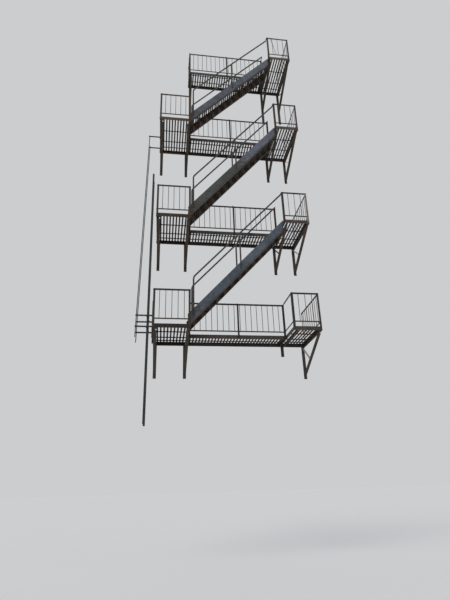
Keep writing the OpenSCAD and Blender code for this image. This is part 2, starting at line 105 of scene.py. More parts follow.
# %% [markdown]
# ## The light and the floor
#
# A stair like this hangs in open daylight, so most of its light is the soft sky.
# The world gives that sky, and the camera and the gloss of the paint see it as a plain pale
# backdrop. One wide lamp stands for the brighter side of the sky and gives the bars their
# light and dark sides.
# The floor lies where the pavement would be, and throws some light back up. Its colour is
# chosen so that, lit, it ends up as pale as the backdrop and no horizon shows.

# %% Sky, lamp and floor
world = bpy.data.worlds.new("sky")
bpy.context.scene.world = world
world.use_nodes = True
sky = world.node_tree.nodes
sky.clear()
wires = world.node_tree.links
sky_out = sky.new("ShaderNodeOutputWorld")
sky_light = sky.new("ShaderNodeBackground")
sky_light.inputs["Color"].default_value = (0.86, 0.92, 1.0, 1)
sky_light.inputs["Strength"].default_value = 0.75
sky_seen = sky.new("ShaderNodeBackground")
sky_seen.inputs["Color"].default_value = (0.60, 0.61, 0.62, 1)
sky_seen.inputs["Strength"].default_value = 1.0
which_ray = sky.new("ShaderNodeLightPath")
choose = sky.new("ShaderNodeMixShader")
backdrop_seen = which_ray.outputs["Is Camera Ray"]
for ray in ("Is Glossy Ray", "Is Transmission Ray"):
    either = sky.new("ShaderNodeMath")
    either.operation = "MAXIMUM"
    wires.new(backdrop_seen, either.inputs[0])
    wires.new(which_ray.outputs[ray], either.inputs[1])
    backdrop_seen = either.outputs["Value"]
wires.new(backdrop_seen, choose.inputs["Fac"])
# The two shader sockets of the mix share one name, so they are taken by number.
wires.new(sky_light.outputs["Background"], choose.inputs[1])
wires.new(sky_seen.outputs["Background"], choose.inputs[2])
wires.new(choose.outputs["Shader"], sky_out.inputs["Surface"])

sun_data = bpy.data.lights.new("bright_sky", "SUN")
sun_data.energy = 1.6
sun_data.angle = math.radians(35)
sun_data.color = (1.0, 0.96, 0.90)
sun = bpy.data.objects.new("bright_sky", sun_data)
bpy.context.scene.collection.objects.link(sun)
sun.rotation_euler = (math.radians(48), 0, math.radians(-38))


def set_down():
    """Nothing stays selected or active, so the next operator acts on its own piece only."""
    if bpy.context.mode != "OBJECT":
        bpy.ops.object.mode_set(mode="OBJECT")
    bpy.ops.object.select_all(action="DESELECT")


FLOOR_Z = -4.55
set_down()
bpy.ops.mesh.primitive_plane_add(size=600, location=(2, -4, FLOOR_Z))
floor = bpy.context.active_object
floor.name = "floor"
floor_look = bpy.data.materials.new("pale_floor")
floor_look.use_nodes = True
floor_paint = floor_look.node_tree.nodes["Principled BSDF"]
floor_paint.inputs["Base Color"].default_value = (0.61, 0.60, 0.59, 1)
floor_paint.inputs["Roughness"].default_value = 0.9
floor.data.materials.append(floor_look)
bpy.context.scene.view_settings.view_transform = "Standard"
print("floor", floor.dimensions.x, "m wide, lamp strength", sun_data.energy)

# %% [markdown]
# ## The paint of old ironwork
#
# From close by, old painted iron is never one colour. The paint has faded in clouds, rain
# has drawn dark streaks down it, rust comes through in patches with ragged edges, and it
# starts at the edges of the bars, where paint is thinnest.
# Each of these is one small helper below, so that a finish can be built up as a painter
# would, layer on layer. A picture of rust could be wrapped round the bars, but each bar would
# have to be unrolled flat first. Patterns that are worked out from the place on the object
# need no unrolling, and they keep their real size on every bar.


# %% Helpers for the node materials
# A Mix node keeps a set of sockets for each kind of data; these are the ones for colours.
MIX_A, MIX_B, MIX_RESULT = 6, 7, 2


class Finish:
    """A node material that is built up in layers."""

    def __init__(self, name):
        self.material = bpy.data.materials.new(name)
        self.material.use_nodes = True
        self.nodes = self.material.node_tree.nodes
        self.links = self.material.node_tree.links
        self.shader = self.nodes["Principled BSDF"]
        self.place = self.nodes.new("ShaderNodeTexCoord").outputs["Object"]

    def put(self, socket, value):
        """Links a value that a node makes, or writes a plain one on the socket."""
        if isinstance(value, bpy.types.NodeSocket):
            self.links.new(value, socket)
        else:
            socket.default_value = value

    def noise(self, scale, detail=4.0, roughness=0.6, stretch=(1, 1, 1), shift=0.0):
        """Clouds of a given number per metre, from 0 to 1."""
        mapping = self.nodes.new("ShaderNodeMapping")
        mapping.inputs["Scale"].default_value = stretch
        mapping.inputs["Location"].default_value = (shift, shift, shift)
        self.links.new(self.place, mapping.inputs["Vector"])
        clouds = self.nodes.new("ShaderNodeTexNoise")
        clouds.inputs["Scale"].default_value = scale
        clouds.inputs["Detail"].default_value = detail
        clouds.inputs["Roughness"].default_value = roughness
        self.links.new(mapping.outputs["Vector"], clouds.inputs["Vector"])
        return clouds.outputs["Fac"]

    def math(self, how, a, b=0.0, c=0.0):
        """One sum of values; MULTIPLY_ADD gives a * b + c."""
        node = self.nodes.new("ShaderNodeMath")
        node.operation = how
        for socket, value in zip(node.inputs, (a, b, c)):
            self.put(socket, value)
        return node.outputs["Value"]

    def both(self, *masks):
        """1 where all of the masks are 1."""
        result = masks[0]
        for mask in masks[1:]:
            result = self.math("MULTIPLY", result, mask)
        return result

    def step(self, value, low, high, start=0.0, end=1.0):
        """Turns a soft value into a patch: start below low, end above high."""
        node = self.nodes.new("ShaderNodeMapRange")
        node.interpolation_type = "SMOOTHSTEP"
        for name, number in (("From Min", low), ("From Max", high), ("To Min", start), ("To Max", end)):
            node.inputs[name].default_value = number
        self.put(node.inputs["Value"], value)
        return node.outputs["Result"]

    def mix(self, share, under, over):
        """Lays one colour over another."""
        node = self.nodes.new("ShaderNodeMix")
        node.data_type = "RGBA"
        self.put(node.inputs["Factor"], share)
        for socket, value in ((node.inputs[MIX_A], under), (node.inputs[MIX_B], over)):
            self.put(socket, value if isinstance(value, bpy.types.NodeSocket) else (*value, 1))
        return node.outputs[MIX_RESULT]

    def darken(self, share, colour, tint):
        """Dirt that lies on a colour and lets it show through."""
        shade = self.mix(share, (1, 1, 1), tint)
        node = self.nodes.new("ShaderNodeMix")
        node.data_type = "RGBA"
        node.blend_type = "MULTIPLY"
        node.inputs["Factor"].default_value = 1.0
        self.put(node.inputs[MIX_A], colour)
        self.put(node.inputs[MIX_B], shade)
        return node.outputs[MIX_RESULT]

    def part(self, axis):
        """One coordinate of the place on the object."""
        node = self.nodes.new("ShaderNodeSeparateXYZ")
        self.links.new(self.place, node.inputs["Vector"])
        return node.outputs[axis]

    def facing(self, axis):
        """How far the surface faces along an axis, from -1 to 1."""
        surface = self.nodes.new("ShaderNodeNewGeometry")
        node = self.nodes.new("ShaderNodeSeparateXYZ")
        self.links.new(surface.outputs["True Normal"], node.inputs["Vector"])
        return node.outputs[axis]

    def edges(self, radius):
        """1 at the edges of a bar and 0 on its faces."""
        rounded = self.nodes.new("ShaderNodeBevel")
        rounded.samples = 4
        rounded.inputs["Radius"].default_value = radius
        flat = self.nodes.new("ShaderNodeNewGeometry")
        same = self.nodes.new("ShaderNodeVectorMath")
        same.operation = "DOT_PRODUCT"
        self.links.new(rounded.outputs["Normal"], same.inputs[0])
        self.links.new(flat.outputs["True Normal"], same.inputs[1])
        return self.step(same.outputs["Value"], 0.99, 0.80)

    def bump(self, height, strength, distance):
        """Fine relief that a soft value raises."""
        node = self.nodes.new("ShaderNodeBump")
        node.inputs["Strength"].default_value = strength
        node.inputs["Distance"].default_value = distance
        self.put(node.inputs["Height"], height)
        self.links.new(node.outputs["Normal"], self.shader.inputs["Normal"])


print("helpers ready")


# %% [markdown]
# ## One recipe for every finish
#
# One recipe makes every iron finish on the stair, with the colours and the share of rust
# as its dials. Near-black paint for the rails, brown for the floors and a faded blue-grey
# for the flights then differ only in their dials, as they do on the real stair.
# Some bars carry two coats: the flights are blue-grey outside and brown inside, which is
# partly paint and partly painted light, a sheen of the sky on the outer faces and shade on
# the inner ones. Such a second layer is laid over the first with a mask that reads the place
# on the stair and the way a face looks, and the rain streaks and the rust come on top of both.


# %% The recipe for aged paint
def aged_paint(name, paint, faded, rust, rust_dark, rusty, shift=0.0, coats_and_light=None):
    """Paint that has faded in clouds, with rain streaks and rust that starts at the edges."""
    f = Finish(name)
    clouds = f.noise(1.7, 5.0, 0.62, shift=shift)
    mottle = f.noise(9.0, 6.0, 0.65, shift=shift + 3)
    grain = f.noise(70.0, 3.0, 0.6)
    streaks = f.noise(5.0, 4.0, 0.6, stretch=(4, 4, 0.35), shift=shift + 7)
    tone = f.step(f.math("MULTIPLY_ADD", mottle, 0.5, f.math("MULTIPLY", clouds, 0.5)), 0.38, 0.62)
    colour = f.mix(tone, paint, faded)
    # Second layers go on here; some are a second paint and some are painted light: a sky sheen, shade and
    # highlights.
    for mask, coat_paint, coat_faded in (coats_and_light(f, mottle) if coats_and_light else ()):
        colour = f.mix(mask, colour, f.mix(tone, coat_paint, coat_faded))
    colour = f.darken(f.step(streaks, 0.52, 0.72, 0.0, 0.55), colour, (0.50, 0.46, 0.42))
    ragged = f.math("MULTIPLY", clouds, 0.35)
    for layer, weight in ((mottle, 0.43), (grain, 0.22), (f.edges(0.006), 0.13)):
        ragged = f.math("MULTIPLY_ADD", layer, weight, ragged)
    patch = f.step(ragged, 0.66 - rusty, 0.74 - rusty)
    rust_colour = f.mix(f.step(grain, 0.35, 0.65), rust_dark, rust)
    colour = f.mix(patch, colour, rust_colour)
    dust = f.step(f.facing("Z"), 0.6, 0.95, 0.0, 0.35)
    colour = f.mix(dust, colour, (0.20, 0.18, 0.16))
    f.put(f.shader.inputs["Base Color"], colour)
    f.put(f.shader.inputs["Specular IOR Level"], 0.25)
    gloss = f.step(mottle, 0.3, 0.7, 0.42, 0.58)
    f.put(f.shader.inputs["Roughness"], f.math("MULTIPLY_ADD", patch, 0.28, gloss))
    f.bump(f.math("MULTIPLY_ADD", patch, -0.6, f.math("MULTIPLY", grain, 0.5)), 0.5, 0.0015)
    return f


def coat(nodes, finish):
    """Gives CAD nodes a finish without touching their meshes."""
    for name in nodes:
        for slot in iron[name].material_slots:
            slot.material = finish.material
    print(finish.material.name, "on", ", ".join(nodes))


print("recipe ready")

# %% [markdown]
# ## Where the second coats and the painted light lie
#
# The masks are written as a painter would say it. The outer sides of the stringers get the
# blue-grey, which is paint and a painted sheen of the sky, and the brown left inside is dark
# paint and painted shade. The blue-grey turns brown at the foot and along the lower edge.
# On two brackets the short brace is cream, one corner post is buff, and the bar that slants
# across the top right railing is almost white; each is partly paint and partly painted light
# on its lit side.
# These bars are parts of larger solids, so they can't be given a material of their own. A
# mask picks them out by their place instead, and its border can be soft where paint wears.


# %% Mask and colours of the stringers
FOOT_AND_RIM_BROWN = (0.034, 0.027, 0.023), (0.060, 0.047, 0.040)


def stringer_tones_and_sheen(flight, low_paint, low_faded, high_paint, high_faded):
    """Two tones of blue-grey, paint and a painted sky sheen, and brown at the foot and lower edge."""
    across = math.sqrt(1 + slope[flight] ** 2)
    lower_edge = LEVELS[flight] - FOOT_X * slope[flight] + (STRINGER_RISE - STRINGER_H) * across

    def coats_and_light(f, mottle):
        x, y, z, look = f.part("X"), f.part("Y"), f.part("Z"), f.facing("Y")
        # Blue-grey on these faces is paint and a painted sheen of the sky; the brown left on the other
        # faces is dark paint and painted shade.
        front = f.both(f.step(y, OUTER_Y + 0.006, OUTER_Y + 0.003), f.step(look, -0.4, -0.6))
        back = f.both(f.step(y, INNER_Y - 0.006, INNER_Y - 0.003), f.step(look, 0.4, 0.6))
        outside = f.math("MAXIMUM", front, back)
        wander = f.math("MULTIPLY_ADD", mottle, 0.9, x)
        height = f.math("MULTIPLY_ADD", mottle, 0.10, f.math("MULTIPLY_ADD", x, -slope[flight], z))
        upper_half = f.step(wander, 2.55, 3.05)
        # Brown towards the foot and along the lower edge of the blue-grey faces.
        foot = f.step(wander, 1.60, 1.25, 0.0, 0.85)
        rim = f.step(height, lower_edge + 0.125, lower_edge + 0.075, 0.0, 0.9)
        foot_and_rim = f.both(outside, f.math("MAXIMUM", foot, rim))
        return [
            (outside, low_paint, low_faded),
            (f.both(outside, upper_half), high_paint, high_faded),
            (foot_and_rim, *FOOT_AND_RIM_BROWN),
        ]

    return coats_and_light


print("masks of the flights ready")


# %% Masks and colours of the braces, the post and the bar
STRUT_FALL = 0.526
STRUT_EDGE = 0.710
FLANGE_EDGE = 0.7515
ARM_H = 0.050
OFF_WEB = 0.0064
# Cream, buff and white are each partly paint and partly painted light on the lit side of their bar.
CREAM = (0.42, 0.39, 0.32), (0.55, 0.52, 0.44)
BUFF = (0.130, 0.112, 0.088), (0.200, 0.176, 0.144)
WHITE = (0.42, 0.44, 0.46), (0.56, 0.58, 0.60)
BETWEEN_RAILS = LEVELS[3] + 0.140, LEVELS[3] + 0.836


def brace_paint_and_light(level):
    """Cream on the brace of a right landing's right bracket: partly paint, partly painted light."""
    top = LEVELS[level] - FRAME_H

    def coats_and_light(f, mottle):
        x, y, z = f.part("X"), f.part("Y"), f.part("Z")
        over_strut = f.math("MULTIPLY_ADD", y, STRUT_FALL, z)
        below_arm = f.step(z, top - ARM_H, top - ARM_H - 0.002)
        off_strut = f.step(over_strut, top - STRUT_EDGE - 0.001, top - STRUT_EDGE + 0.001)
        in_line = f.both(off_strut, below_arm)
        aside = f.math("ABSOLUTE", f.math("SUBTRACT", x, BRACKET_X[3]))
        past_web = f.step(aside, OFF_WEB - 0.0002, OFF_WEB + 0.0002)
        off_flange = f.step(over_strut, top - FLANGE_EDGE - 0.0005, top - FLANGE_EDGE + 0.0005)
        beside = f.both(past_web, off_flange)
        off_wall = f.step(y, -0.014, -0.020)
        right_bracket = f.step(x, BRACKET_X[3] - 0.060, BRACKET_X[3] - 0.050)
        brace = f.both(right_bracket, f.math("MAXIMUM", in_line, beside), off_wall)
        return [(brace, *CREAM)]

    return coats_and_light


def corner_paint_and_light(f, mottle):
    """Buff on the right corner post: partly paint, partly a painted highlight from the right."""
    at_end = f.step(f.part("X"), END_X - 0.047, END_X - 0.045)
    in_front = f.step(f.part("Y"), -LANDING_D + 0.001, -LANDING_D - 0.001)
    return [(f.both(at_end, in_front), *BUFF)]


def slant_paint_and_light(f, mottle):
    """White on the bar between the top right landing's rails: partly paint, partly painted sunlight."""
    y, z = f.part("Y"), f.part("Z")
    low, high = BETWEEN_RAILS
    between = f.both(f.step(z, low - 0.001, low + 0.001), f.step(z, high + 0.001, high - 0.001))
    behind = f.step(y, -LANDING_D + 0.0085, -LANDING_D + 0.0105)
    return [(f.both(between, behind), *WHITE)]


print("masks of braces, post and bar ready")

# %% [markdown]
# ## The finishes
#
# A finish is its paint as it was, the same paint faded, and how far rust has come through.
# One more number shifts the patterns, so that two finishes on neighbouring bars don't show
# the same patch. The flights give this number first and then the two tones of their
# blue-grey, paint with a painted sheen of the sky.
# Each solid could be tinted on its own, but a few named finishes, shared by their bars, are
# what a painter would have mixed.

# %% Mix the finishes
RUST, RUST_DARK = (0.125, 0.056, 0.030), (0.050, 0.024, 0.015)
RAIL_BLACK = (0.018, 0.015, 0.012), (0.033, 0.027, 0.022)
BRACKET_BROWN = (0.035, 0.029, 0.022), (0.061, 0.050, 0.037)


def old_iron(name, paint, faded, rusty, shift=0.0, coats_and_light=None):
    """The recipe with the rust of this stair."""
    return aged_paint(name, paint, faded, RUST, RUST_DARK, rusty, shift, coats_and_light)


def flight_iron(flight, shift, *tones):
    """Brown inside, paint and painted shade; two tones of blue-grey outside, paint and painted sky sheen.
    """
    coats_and_light = stringer_tones_and_sheen(flight, *tones)
    return old_iron(
        f"blue_grey_sheen_flight_{flight + 1}", (0.022, 0.017, 0.013), (0.038, 0.029, 0.023), 0.03, shift, coats_and_light)


black_brown = old_iron("black_brown_rails", *RAIL_BLACK, 0.125)
red_brown = old_iron("red_brown_rails", (0.022, 0.013, 0.010), (0.040, 0.023, 0.016), 0.15, 11)
buff_corner = old_iron("rails_with_buff_post", *RAIL_BLACK, 0.125, 0, corner_paint_and_light)
white_slant = old_iron(
    "rails_with_white_bar", (0.022, 0.019, 0.017), (0.042, 0.036, 0.031), 0.12, 3, slant_paint_and_light)
# Near-black for the two lowest left floors: dark paint, and painted shade under the slats.
floor_shade_black = old_iron("floor_shade_black_brown", (0.012, 0.009, 0.006), (0.021, 0.015, 0.011), 0.13, 5)
floor_red = old_iron("floor_red_brown", (0.026, 0.018, 0.014), (0.045, 0.032, 0.025), 0.155, 7)
floor_pale = old_iron("floor_pale_brown", (0.042, 0.038, 0.033), (0.066, 0.061, 0.055), 0.135, 5)
floor_grey = old_iron("floor_grey_brown", (0.028, 0.026, 0.023), (0.046, 0.043, 0.040), 0.125, 5)
tread_brown = old_iron("tread_brown", (0.024, 0.018, 0.014), (0.042, 0.032, 0.026), 0.155, 9)
# The flights: brown dark paint with painted shade inside, blue-grey paint with a painted sky sheen
# outside.
flight_paint_and_sheen = [
    flight_iron(
        0, 4, (0.044, 0.054, 0.068), (0.072, 0.088, 0.108), (0.049, 0.062, 0.079), (0.080, 0.099, 0.124)),
    flight_iron(
        1, 2, (0.036, 0.037, 0.037), (0.057, 0.058, 0.057), (0.067, 0.078, 0.105), (0.103, 0.116, 0.149)),
    flight_iron(
        2, 2, (0.050, 0.057, 0.074), (0.076, 0.084, 0.104), (0.063, 0.073, 0.092), (0.096, 0.107, 0.131)),
]
hand_grey = old_iron("handrail_grey", (0.027, 0.027, 0.027), (0.045, 0.045, 0.044), 0.09, 6)
ladder_grey = old_iron("ladder_grey", (0.014, 0.016, 0.017), (0.028, 0.031, 0.032), 0.11, 8)
bracket_dark = old_iron("bracket_brown", *BRACKET_BROWN, 0.14, 13)
cream_brace = [
    old_iron(f"bracket_with_cream_brace_{level + 1}", *BRACKET_BROWN, 0.14, 13, brace_paint_and_light(level))
    for level in range(2)
]
print("finishes mixed, the first is", black_brown.material.name)

# %% Coat the ironwork
coat([n for n in iron if n.startswith("railing_") or n.startswith("end_railings")], black_brown)
coat(["railing_left_3", "railing_right_3"], red_brown)
coat(["railing_right_2"], buff_corner)
coat(["railing_right_4"], white_slant)
coat(["floor_left_1", "floor_left_2"], floor_shade_black)
coat(["floor_left_3"], floor_red)
coat([n for n in iron if n.startswith("floor_walkway") or n.startswith("floor_right")], floor_grey)
coat(["floor_right_3", "floor_right_4"], floor_pale)
coat([n for n in iron if n.startswith("treads_")], tread_brown)
for flight in range(3):
    coat([f"stringers_{flight + 1}"], flight_paint_and_sheen[flight])
coat([n for n in iron if n.startswith("handrails_")], hand_grey)
coat([n for n in iron if n.startswith("bracket")], bracket_dark)
coat(["brackets_right_1"], cream_brace[0])
coat(["brackets_right_2"], cream_brace[1])
coat(["ladder_rails", "ladder_rungs", "guide_rods", "guide_arms"], ladder_grey)

# %% [markdown]
# ## Tools for the small parts
#
# A blacksmith's ironwork is held by hundreds of rivets and bolts that are all alike.
# Each kind is modelled once at the origin, standing up along Z, and then copied to every
# place where a real one sits, turned to look out of its bar. Instances on points would save
# memory, but joined copies are one plain mesh per set, which every program can read.
# Faces are picked in code by where they look, as one would click them by hand.


# %% Helpers for the small parts
def pick_faces(test):
    """Selects the faces of the piece in edit mode whose middle and normal pass a test."""
    bpy.context.tool_settings.mesh_select_mode = (False, False, True)
    bpy.ops.mesh.select_all(action="DESELECT")
    shape = bmesh.from_edit_mesh(bpy.context.edit_object.data)
    for face in shape.faces:
        face.select = test(face.calc_center_median(), face.normal)
    bmesh.update_edit_mesh(bpy.context.edit_object.data)


def looks_up(middle, normal):
    """The test for the faces on top."""
    return normal.z > 0.9


def start_round(sides, radius, depth, bottom=0.0):
    """Adds a disc that stands on the height bottom, and opens it in edit mode."""
    set_down()
    bpy.ops.mesh.primitive_cylinder_add(
        vertices=sides, radius=radius, depth=depth, location=(0, 0, bottom + depth / 2)
    )
    bpy.ops.object.transform_apply(location=True, rotation=True, scale=True)
    bpy.ops.object.mode_set(mode="EDIT")
    return bpy.context.active_object


def weld_to(base, *others):
    """Joins other shapes to a base shape."""
    set_down()
    for shape in (*others, base):
        shape.select_set(True)
    bpy.context.view_layer.objects.active = base
    bpy.ops.object.join()
    return base


def turned(out, along=None):
    """The turn that stands a master's Z along out, and its X along a second way if one is given."""
    out = Vector(out)
    if along is None:
        return out.to_track_quat("Z", "Y").to_matrix().to_4x4()
    along = Vector(along)
    return Matrix((along, out.cross(along), out)).transposed().to_4x4()


def put_at(piece, place, *ways):
    """Moves and turns a shape before it is welded to another."""
    set_down()
    piece.select_set(True)
    bpy.context.view_layer.objects.active = piece
    piece.matrix_world = Matrix.Translation(place) @ turned(*ways)
    bpy.ops.object.transform_apply(location=True, rotation=True, scale=True)
    return piece


def set_out(master, name, spots, finish, body="frame"):
    """Copies a master to every (place, ways it looks) and joins the copies to one piece."""
    set_down()
    for place, *ways in spots:
        copy = master.copy()
        copy.data = master.data.copy()
        copy.matrix_world = Matrix.Translation(place) @ turned(*ways)
        bpy.context.scene.collection.objects.link(copy)
        copy.select_set(True)
        bpy.context.view_layer.objects.active = copy
    bpy.context.view_layer.update()
    bpy.ops.object.join()
    piece = bpy.context.active_object
    bpy.ops.object.transform_apply(location=True, rotation=True, scale=True)
    piece.name = piece.data.name = name
    piece.data.materials.clear()
    piece.data.materials.append(finish.material)
    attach(piece, body)
    bpy.data.objects.remove(master)
    print(name, "-", len(spots), "copies,", len(piece.data.polygons), "faces")


def measure(trial, title):
    """Prints the size of a master, and takes it away again."""
    size = [round(v * 1000, 1) for v in trial.dimensions]
    print(title, size, "mm,", len(trial.data.polygons), "faces")
    bpy.data.objects.remove(trial)


print("tools ready")

# %% [markdown]
# ## Rivet heads
#
# A hot rivet is hammered to a low round head. A lathe would give a perfect dome, but at
# this size a disc whose top is drawn up twice, a little smaller each time, catches the
# light the same way with a few dozen faces, and there are more than a thousand of them.


# %% One rivet head
def rivet_head(radius, height):
    """A low dome that stands up along Z."""
    head = start_round(8, radius, height * 0.5, bottom=-0.0005)
    pick_faces(looks_up)
    for rise, size in ((0.32, 0.78), (0.18, 0.50)):
        bpy.ops.mesh.extrude_region_move(TRANSFORM_OT_translate={"value": (0, 0, height * rise)})
        bpy.ops.transform.resize(value=(size, size, 1))
    set_down()
    head.select_set(True)
    bpy.ops.object.shade_smooth_by_angle(angle=math.radians(50))
    return head


measure(rivet_head(0.012, 0.009), "rivet head")

# %% [markdown]
# ## Rivets of the flights
#
# Every tread hangs on two cleats, and each cleat is riveted to the web of a stringer with
# two rivets. They show as a double row of dots that climbs with the flight.
# Their places are counted up from the foot with the same rise and going as the treads, so
# that each one meets its cleat, which placing them by eye would not give.
# A rivet that would fall under a handrail upright is left out: the upright's bolts do its work.

# %% Rivets along the stringers
UPRIGHTS_X = [0.890, 2.085]
UPRIGHT_CLEAR = 0.035
TREAD_DROP = 0.060
TREAD_DEPTH = 0.142
CLEAT_END = 0.030
CLEAT_MID = 0.030
for flight in range(3):
    spots = []
    for step in range(1, RISERS[flight]):
        start = FOOT_X + step * going[flight] + TREAD_DROP / slope[flight]
        start = min(start, RIGHT_X - TREAD_DEPTH)
        z = LEVELS[flight] + step * riser[flight] - CLEAT_MID
        for along in (CLEAT_END, TREAD_DEPTH - CLEAT_END):
            x = start + along
            if min(abs(x - upright) for upright in UPRIGHTS_X) > UPRIGHT_CLEAR:
                spots.append(((x, OUTER_Y, z), (0, -1, 0)))
            spots.append(((x, INNER_Y, z), (0, 1, 0)))
    name = f"stringer_rivets_{flight + 1}"
    set_out(rivet_head(0.012, 0.009), name, spots, flight_paint_and_sheen[flight])

# %% [markdown]
# ## Rivets of the floors
#
# Each slat lies on the ledge of the floor's frame and is riveted at both ends. The heads
# are low on the walking side, so that nobody trips, and round on the underside.
# An array could lay them out in one floor, but the floors differ in width and depth, so the
# slats are counted anew for each.

# %% Rivets of the slats
SLAT_PITCH = 0.081
SLAT_W = 0.040
SLAT_UNDER = 0.016
LEDGE_MID = 0.030


def slat_lines(x, width):
    """Middle of every slat of a floor, spaced as in the construction model."""
    count = int((width - 2 * FRAME_T - SLAT_W) / SLAT_PITCH + 1e-6) + 1
    first = x + width / 2 - (count - 1) * SLAT_PITCH / 2
    return [first + n * SLAT_PITCH for n in range(count)]


floors = [(LEFT_X, WALKWAY_X - LEFT_X, LANDING_D, z) for z in LEVELS[:3]]
floors += [(WALKWAY_X, RIGHT_X - WALKWAY_X, d, z) for d, z in zip(WALKWAY_D, LEVELS)]
floors += [(RIGHT_X, END_X - RIGHT_X, LANDING_D, z) for z in LEVELS]
on_top, below = [], []
for x, width, depth, z in floors:
    for line in slat_lines(x, width):
        for y in (-depth + LEDGE_MID, -LEDGE_MID):
            on_top.append(((line, y, z), (0, 0, 1)))
            below.append(((line, y, z - SLAT_UNDER), (0, 0, -1)))
set_out(rivet_head(0.009, 0.004), "slat_rivets_top", on_top, floor_grey)
set_out(rivet_head(0.009, 0.007), "slat_rivets_below", below, floor_grey)

# %% [markdown]
# ## Rivets of the railings
#
# The round balusters are flattened at their ends and riveted to the rails, and the rails
# are riveted to the posts. The walkways have one more post in the middle.
# It is the rivet of the flights again, a little smaller. A helper walks along a railing from
# one end to the other, as a fitter does, so that the same few lines serve all of them.

# %% Rivets of the balusters
BALUSTER_PITCH = 0.145
RAIL_T = 0.010
PROUD = 0.001
RAIL_MIDS = (0.858, 0.125)
WALK_RAIL_MIDS = (0.828, 0.100)
GUIDE_Y = (-0.6313, -0.1687)


def between(a, b):
    """Places of the balusters between two ends of a railing."""
    gaps = int(abs(b - a) / BALUSTER_PITCH + 1e-6)
    return [a + (b - a) * n / gaps for n in range(1, gaps)]


def front_rivets(spots, x, depth, z, mids):
    """Heads before and behind both rails of a front railing, at one baluster."""
    for h in mids:
        spots.append(((x, -depth - PROUD, z + h), (0, -1, 0)))
        spots.append(((x, -depth + RAIL_T + PROUD, z + h), (0, 1, 0)))


def end_rivets(spots, x, way, front, back, z, mids):
    """The same along a railing that runs out from the wall at x; way is its outer side."""
    for y in between(front, back):
        for h in mids:
            spots.append(((x + way * PROUD, y, z + h), (way, 0, 0)))
            spots.append(((x - way * (RAIL_T + PROUD), y, z + h), (-way, 0, 0)))


spots = []
for a, b, levels in ((LEFT_X, WALKWAY_X, LEVELS[:3]), (RIGHT_X, END_X, LEVELS)):
    for x in between(a, b):
        for z in levels:
            front_rivets(spots, x, LANDING_D, z, RAIL_MIDS)
for depth, z in zip(WALKWAY_D, LEVELS):
    for x in between(WALKWAY_X, RIGHT_X):
        front_rivets(spots, x, depth, z, WALK_RAIL_MIDS)
for z in LEVELS[1:3]:
    end_rivets(spots, LEFT_X, -1, -LANDING_D + RAIL_T, 0, z, RAIL_MIDS)
for z in LEVELS:
    end_rivets(spots, END_X, 1, -LANDING_D + RAIL_T, 0, z, RAIL_MIDS)
end_rivets(spots, LEFT_X, -1, -LANDING_D + RAIL_T, GUIDE_Y[0], LEVELS[0], RAIL_MIDS)
end_rivets(spots, WALKWAY_X, -1, -WALKWAY_D[3] + RAIL_T, 0, LEVELS[3], WALK_RAIL_MIDS)
set_out(rivet_head(0.010, 0.006), "baluster_rivets", spots, black_brown)

# %% Rivets of the rails
POST_IN = 0.027
POSTS_X = [WALKWAY_X + POST_IN, (WALKWAY_X + RIGHT_X) / 2 + POST_IN, RIGHT_X - POST_IN]
GATE_POSTS_Y = (-0.612, -0.186)
WALL_POST_Y = -0.022
POST_MID = 0.020
corners = [(LEFT_X, -1, z) for z in LEVELS[:3]] + [(WALKWAY_X, 1, z) for z in LEVELS[:3]]
corners += [(RIGHT_X, -1, z) for z in LEVELS] + [(END_X, 1, z) for z in LEVELS]
end_posts = [(LEFT_X, -1, WALL_POST_Y, z) for z in LEVELS[1:3]]
end_posts += [(END_X, 1, WALL_POST_Y, z) for z in LEVELS]
end_posts += [(LEFT_X, -1, y, LEVELS[0]) for y in GATE_POSTS_Y]


def on_end_post(x, way, y, z):
    """A place on the outer side of a post that stands in an end railing."""
    return (x + way * POST_T, y, z), (way, 0, 0)


spots = []
for depth, z in zip(WALKWAY_D, LEVELS):
    spots += [((x, -depth - POST_T, z + h), (0, -1, 0)) for x in POSTS_X for h in WALK_RAIL_MIDS]
for x, way, y, z in end_posts:
    spots += [on_end_post(x, way, y, z + h) for h in RAIL_MIDS]
spots += [on_end_post(WALKWAY_X, -1, WALL_POST_Y, LEVELS[3] + h) for h in WALK_RAIL_MIDS]
for x, way, z in corners:
    for h in RAIL_MIDS:
        spots.append(((x - way * POST_MID, -LANDING_D - POST_T, z + h), (0, -1, 0)))
        if x in (LEFT_X, END_X):
            spots.append(on_end_post(x, way, -LANDING_D + POST_MID, z + h))
set_out(rivet_head(0.011, 0.008), "rail_rivets", spots, black_brown)

# %% [markdown]
# ## Bolts of the posts
#
# The feet of the posts are bolted to the floor frames, so that a railing can be taken off
# and mended. A bolt head is a six-sided disc with a chamfered top on a thin round washer.
# A whole bolt with its thread would be the same to look at, because the shank is hidden in
# the iron, so only the head and the washer are modelled.


# %% One bolt head
def bolt_head(size, washer):
    """A six-sided head on a round washer, each given by its radius."""
    plate = start_round(14, washer, 0.003, bottom=-0.0005)
    pick_faces(looks_up)
    bpy.ops.mesh.inset(thickness=0.0015, depth=0.0008)
    head = start_round(6, size, size * 0.7, bottom=0.002)
    pick_faces(looks_up)
    bpy.ops.mesh.inset(thickness=size * 0.15, depth=size * 0.08)
    return weld_to(plate, head)


measure(bolt_head(0.010, 0.014), "bolt head")

